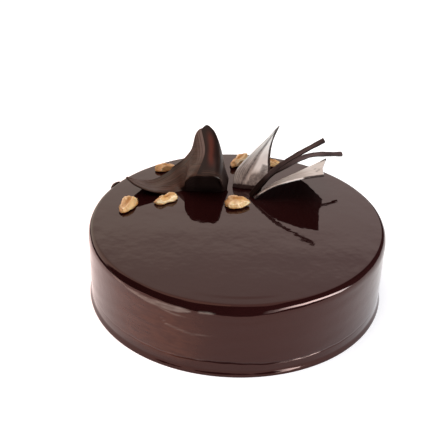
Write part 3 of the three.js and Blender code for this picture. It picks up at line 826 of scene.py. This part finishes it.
def bent_stick(name, sizes, material):
    """A flat bar swept along its curve, with rounded corners and ends."""
    shares = gathered(STICK_STEPS)
    spine = smooth_curve(STICKS[name], shares)
    run = np.gradient(spine, axis=0)
    run /= np.linalg.norm(run, axis=-1, keepdims=True)
    across = np.cross([0, 0, 1], run)
    across /= np.linalg.norm(across, axis=-1, keepdims=True)
    over = np.cross(run, across)
    lean = math.radians(STICK_LEAN)
    across, over = (
        across * math.cos(lean) + over * math.sin(lean), over * math.cos(lean) - across * math.sin(lean)
    )
    length = travelled(spine, 0)
    end = np.clip(1 - np.minimum(length, length[-1] - length) / STICK_END_ROUNDING, 0, 1)
    rounding = np.maximum(np.sqrt(1 - end ** 2), 0.75)
    turn = np.linspace(0, 2 * np.pi, STICK_SIDES, endpoint=False)
    wide, thick = (
        np.sign(reach) * np.abs(reach) ** STICK_SQUARENESS for reach in (np.cos(turn), np.sin(turn))
    )
    uneven = 1 + 0.05 * np.sin(length / 3.1 + len(name)) + 0.03 * np.sin(length / 1.3)
    section = wide[None, :, None] * across[:, None] * (sizes.stick_width / MM / 2)
    section = section + thick[None, :, None] * over[:, None] * STICK_THICKNESS / 2
    corners = bedded(spine[:, None] + section * (rounding * uneven)[:, None, None], sizes.height / MM)
    uv = np.stack(np.broadcast_arrays(length[:, None], turn[None, :] * STICK_WIDTH / 3), -1)
    middles = bedded(spine[[0, -1]], sizes.height / MM)
    corners = np.concatenate([corners.reshape(-1, 3), middles])
    uv = np.concatenate([uv.reshape(-1, 2), uv[[0, -1], 0]])
    faces = turned_faces(STICK_STEPS, STICK_SIDES)
    # painted sheen on the broad sides, left off near the base, where shade falls
    broad = soft(thick, 0.3, 0.9) * soft(np.abs(wide), 1.0, 0.7)
    dull_sheen = broad[None, :] * soft(shares, 0.3, 0.42)[:, None]
    marks = {"dull_sheen": np.append(dull_sheen.ravel(), [0, 0])}
    return add_piece(name, corners, faces, material, uv, marks)


def nut_lobes(seed):
    """Lumps and furrows of a nut: directions on the unit ball, each with its height."""
    random = random_source(seed)
    lobes = []
    for _ in range(NUT_LOBES):
        height = 2 * next(random) - 1
        turn = 2 * math.pi * next(random)
        level = math.sqrt(1 - height * height)
        direction = (level * math.cos(turn), level * math.sin(turn), height)
        lump = 1 if next(random) > 0.35 else -1
        lobes.append((direction, NUT_LOBE_HEIGHT * lump * (0.6 + 0.4 * next(random))))
    return lobes


def nut_breaks(seed):
    """Flat broken faces of a nut: outward directions, each with its distance from the middle."""
    random = random_source(seed)
    breaks = []
    for _ in range(NUT_BREAKS):
        height = 1.5 * next(random) - 0.5
        turn = 2 * math.pi * next(random)
        level = math.sqrt(max(0.0, 1 - height * height))
        breaks.append(((level * math.cos(turn), level * math.sin(turn), height), 0.7 + 0.22 * next(random)))
    return breaks


def unit_ball(subdivisions):
    made = bmesh.new()
    bmesh.ops.create_icosphere(made, subdivisions=subdivisions, radius=1)
    corners = np.array([corner.co[:] for corner in made.verts])
    faces = [[corner.index for corner in face.verts] for face in made.faces]
    made.free()
    return corners, faces


def nut_piece(number, nut, sizes, material):
    """A broken nut: a ball with lumps, a waist, a taper and a dish, flattened below."""
    ball, faces = unit_ball(NUT_SUBDIVISIONS)
    x, y, z = ball.T
    reach = np.full(len(ball), 1 - 0.5 * NUT_LOBE_HEIGHT)
    for direction, size in nut_lobes(FIRST_NUT_SEED + number):
        reach += size * np.maximum(0, ball @ direction) ** NUT_LOBE_SHARPNESS
    cuts = [distance / np.maximum(ball @ np.array(direction), 0.2)
            for direction, distance in nut_breaks(FIRST_BREAK_SEED + number)]
    nearest = np.sort([reach, *cuts], axis=0)[:2]
    reach = nearest[0]
    heart = np.exp(-((x / 0.65) ** 2) - (y / 0.4) ** 2) * np.clip(z * 2, 0, 1)
    # painted highlight on the edges between broken faces and over the upper side
    ridge_highlight = np.maximum(np.exp(-(((nearest[1] - nearest[0]) / 0.07) ** 2)), 0.35)
    ridge_highlight = ridge_highlight * soft(z, -0.1, 0.25) * (1 - heart)
    place = [Vector(corner) * 2.2 + Vector((number * 7, 0, 0)) for corner in ball]
    crags = np.array([noise.fractal(point, 0.8, 2.1, 4) for point in place])
    reach = reach + NUT_CRAGS * crags
    narrow = (1 - nut["waist"] * np.exp(-((x / 0.35) ** 2))) * (1 - nut["taper"] * x)
    hollow = nut["dish"] * np.exp(-((x / 0.5) ** 2) - (y / 0.35) ** 2)
    up = np.where(z < 0, z * NUT_SINK, z * (narrow - hollow) * (1 + nut["raised"] * y))
    length, width, tall = nut["size"]
    rise = tall / (1 + NUT_SINK)
    corners = np.stack([x * reach * length / 2, y * reach * narrow * width / 2, up * reach * rise], -1)
    turn = np.array(Matrix.Rotation(math.radians(nut["turn"]), 3, "Z"))
    corners = corners @ turn.T
    corners += [*nut["at"], sizes.height / MM - NUT_BEDDED - corners[:, 2].min()]
    # brown skin, with painted shade on the lower side
    skin_and_shade = np.clip(0.3 - 2.2 * z + 0.8 * crags, 0, 1)
    shades = {"heart": heart, "skin_and_shade": skin_and_shade, "ridge_highlight": ridge_highlight}
    return add_piece(f"nut_{number + 1}", corners, faces, material, shades=shades)


# ---- the stage ----


def paper_floor():
    """Matt white paper, rolled out flat: no gloss, glowing bright enough to lose its shadows, and glowing
    warmer at the left.
    """
    material, tree = new_material("paper_matt")
    place = add_node(tree, "ShaderNodeTexCoord").outputs["Object"]
    rightward = add_node(tree, "ShaderNodeSeparateXYZ", {0: place}).outputs["X"]
    glow = blend(tree, ranged(tree, rightward, -0.2, 0.0), (0.98, 0.6, 0.56, 1), (0.56, 0.57, 0.6, 1))
    surface(tree, {
        "Base Color": (0.8, 0.8, 0.8, 1),
        "Roughness": 1.0,
        "Specular IOR Level": 0.0,
        "Emission Color": glow,
        "Emission Strength": 1.0,
    })
    mesh = bpy.data.meshes.new("floor")
    left, right, front, back = -0.27, 0.9, -0.215, 0.9  # in metres
    corners = [(left, front, 0), (right, front, 0), (right, back, 0), (left, back, 0)]
    mesh.from_pydata(corners, [], [(0, 1, 2, 3)])
    mesh.materials.append(material)
    floor = bpy.data.objects.new("floor", mesh)
    bpy.context.scene.collection.objects.link(floor)


def soft_box(name, place, size, power, colour):
    """A square area light that looks at the cake."""
    light = bpy.data.lights.new(name, "AREA")
    light.size, light.energy, light.color = size, power, colour
    lamp = bpy.data.objects.new(name, light)
    lamp.location = place
    lamp.rotation_euler = (-Vector(place)).to_track_quat("-Z", "Y").to_euler()
    bpy.context.scene.collection.objects.link(lamp)
    return lamp


def room_light():
    """A room that is light behind, above and at the left, dark at the right and on the viewer's side."""
    world = bpy.data.worlds.new("room")
    bpy.context.scene.world = world
    world.use_nodes = True
    tree = world.node_tree
    tree.nodes.clear()
    direction = add_node(tree, "ShaderNodeTexCoord").outputs["Generated"]
    parts = add_node(tree, "ShaderNodeSeparateXYZ", {0: direction})
    right, back, up = (parts.outputs[axis] for axis in "XYZ")

    def result(operation, *values):
        return maths(tree, operation, *values)

    def product(*values):
        return maths(tree, "MULTIPLY", *values)

    def rising(value, start, end):
        return ranged(tree, value, start, end, interpolation_type="SMOOTHSTEP")

    elevation = product(result("ARCSINE", up), 180 / math.pi)
    bearing = product(result("ARCTAN2", right, back), 180 / math.pi)
    off_strip = result("ABSOLUTE", result("SUBTRACT", bearing, STRIP_BEARING))
    sag = product(product(off_strip, off_strip), 1 / STRIP_CURVE)
    off_level = result("ABSOLUTE", result("ADD", result("SUBTRACT", elevation, STRIP_ELEVATION), sag))
    strip = product(rising(off_strip, 40, 6), rising(off_level, 9.0, 5.0))
    rightward = rising(bearing, -45, 45)
    low, high = (blend(tree, rightward, *colours) for colours in (ROOM_BEHIND, ROOM_ABOVE))
    white = blend(tree, rising(elevation, 31, 34.5), low, high)
    white = blend(tree, rising(elevation, 40, 70), white, ROOM_OVERHEAD)
    white = blend(tree, rising(bearing, -25, -70), white, ROOM_LEFT)
    open_side = product(rising(right, 0.36, 0.28), rising(back, -0.62, -0.5))
    open_side = product(open_side, rising(up, -0.03, 0.01))
    pillar = product(rising(right, -0.3, -0.45), rising(back, 0.3, 0.15))  # a dark upright at the left
    pillar = product(pillar, rising(up, 0.86, 0.8))
    open_side = product(open_side, result("SUBTRACT", 1.0, pillar))
    light = blend(tree, strip, blend(tree, open_side, ROOM_DARK, white), STRIP_COLOUR)
    lit = add_node(tree, "ShaderNodeBackground", {0: light, 1: 1.0})
    seen = add_node(tree, "ShaderNodeBackground", {0: (1.0, 1.0, 1.0, 1), 1: 1.1})
    path = add_node(tree, "ShaderNodeLightPath")
    inputs = {0: path.outputs["Is Camera Ray"], 1: lit.outputs[0], 2: seen.outputs[0]}
    mixed = add_node(tree, "ShaderNodeMixShader", inputs)
    add_node(tree, "ShaderNodeOutputWorld", {0: mixed.outputs[0]})


def photo_camera():
    camera = bpy.data.cameras.new("camera")
    camera.lens, camera.sensor_width = CAMERA_LENS, CAMERA_SENSOR
    seen_from = bpy.data.objects.new("camera", camera)
    yaw = Matrix.Rotation(math.radians(CAMERA_YAW), 4, "Z")
    pitch = Matrix.Rotation(math.radians(90 - CAMERA_PITCH), 4, "X")
    roll = Matrix.Rotation(math.radians(CAMERA_ROLL), 4, "Z")
    seen_from.matrix_world = Matrix.Translation(CAMERA_PLACE) @ yaw @ pitch @ roll
    bpy.context.scene.collection.objects.link(seen_from)
    bpy.context.scene.camera = seen_from
    bpy.context.scene.view_settings.view_transform = "Standard"


# ---- operators ----


class GlazeCake(bpy.types.Operator):
    """Pour the mirror glaze over the cake and set the chocolate drop on its shoulder"""

    bl_idname = "brownie_cake.glaze"
    bl_label = "Glaze the Cake"

    def execute(self, context):
        sizes, colours = context.scene.cake_sizes, context.scene.cake_colours
        glazed_cake(sizes, mirror_glaze(colours))
        shoulder_drop(sizes, dark_chocolate("poured", colours, colours.dull_sheen))
        return {"FINISHED"}


class CombWave(bpy.types.Operator):
    """Comb the chocolate ribbon and twist it up into a wave"""

    bl_idname = "brownie_cake.wave"
    bl_label = "Comb the Wave"

    def execute(self, context):
        sizes, colours = context.scene.cake_sizes, context.scene.cake_colours
        combed_wave(sizes, dark_chocolate("combed", colours, colours.dull_sheen))
        return {"FINISHED"}


class BrushLeaves(bpy.types.Operator):
    """Brush the two chocolate leaves and stand them on the glaze"""

    bl_idname = "brownie_cake.leaves"
    bl_label = "Brush the Leaves"

    def execute(self, context):
        material = brushed_leaf(context.scene.cake_colours)
        for name in LEAVES:
            leaf(name, context.scene.cake_sizes, material)
        return {"FINISHED"}


class BendSticks(bpy.types.Operator):
    """Bend the two thin chocolate sticks"""

    bl_idname = "brownie_cake.sticks"
    bl_label = "Bend the Sticks"

    def execute(self, context):
        sizes, colours = context.scene.cake_sizes, context.scene.cake_colours
        material = dark_chocolate("cut", colours, colours.stick_sheen)
        for name in STICKS:
            bent_stick(name, sizes, material)
        return {"FINISHED"}


class LayNuts(bpy.types.Operator):
    """Lay the six nut pieces on the glaze"""

    bl_idname = "brownie_cake.nuts"
    bl_label = "Lay the Nuts"

    def execute(self, context):
        material = toasted_nut(context.scene.cake_colours)
        for number, nut in enumerate(NUTS):
            nut_piece(number, nut, context.scene.cake_sizes, material)
        return {"FINISHED"}


class LightStage(bpy.types.Operator):
    """Roll out the floor, light it softly and set the camera"""

    bl_idname = "brownie_cake.stage"
    bl_label = "Light the Stage"

    def execute(self, context):
        paper_floor()
        room_light()
        fill = soft_box("fill", (-0.35, -0.35, 1.3), 1.2, 8, (1.0, 0.97, 0.95))
        fill.visible_glossy = False
        photo_camera()
        return {"FINISHED"}


OPERATORS = (GlazeCake, CombWave, BrushLeaves, BendSticks, LayNuts, LightStage)


class CakePanel(bpy.types.Panel):
    """Sizes, colours and steps of the cake"""

    bl_idname = "VIEW3D_PT_brownie_cake"
    bl_label = "Brownie Cake"
    bl_space_type = "VIEW_3D"
    bl_region_type = "UI"
    bl_category = "Brownie Cake"

    def draw(self, context):
        for group in (context.scene.cake_sizes, context.scene.cake_colours):
            for name in group.__annotations__:
                self.layout.prop(group, name)
        for operator in OPERATORS:
            self.layout.operator(operator.bl_idname)


CLASSES = (CakeSizes, CakeColours, *OPERATORS, CakePanel)


def register():
    for made in CLASSES:
        bpy.utils.register_class(made)
    bpy.types.Scene.cake_sizes = bpy.props.PointerProperty(type=CakeSizes)
    bpy.types.Scene.cake_colours = bpy.props.PointerProperty(type=CakeColours)


def unregister():
    del bpy.types.Scene.cake_colours
    del bpy.types.Scene.cake_sizes
    for made in reversed(CLASSES):
        bpy.utils.unregister_class(made)


def main():
    register()
    bpy.ops.brownie_cake.glaze()
    bpy.ops.brownie_cake.wave()
    bpy.ops.brownie_cake.leaves()
    bpy.ops.brownie_cake.sticks()
    bpy.ops.brownie_cake.nuts()
    bpy.ops.brownie_cake.stage()


if __name__ == "__main__":
    main()
